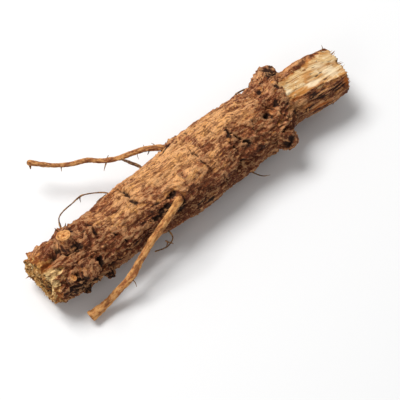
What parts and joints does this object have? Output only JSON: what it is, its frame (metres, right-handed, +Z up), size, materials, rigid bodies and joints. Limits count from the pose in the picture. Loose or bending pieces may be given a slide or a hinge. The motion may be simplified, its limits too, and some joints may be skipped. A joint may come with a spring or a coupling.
{
  "type": "stillingia root",
  "caption": "Broken length of dried root with brown wrinkled bark, cut rootlet stubs, long side rootlets and a split end that shows pale wood.",
  "frame": {"origin": "on the flat spot that the root rests on, under the middle of its length", "axes": "+X along the root towards its split upper end; +Z up; -Y towards the thick rootlet that hangs at the front"},
  "size_m": [0.1397, 0.0605, 0.0268],
  "materials": {
    "bark": "dry matt bark"
  },
  "bodies": {
    "root": {"root": "bark"}
  },
  "joints": []
}
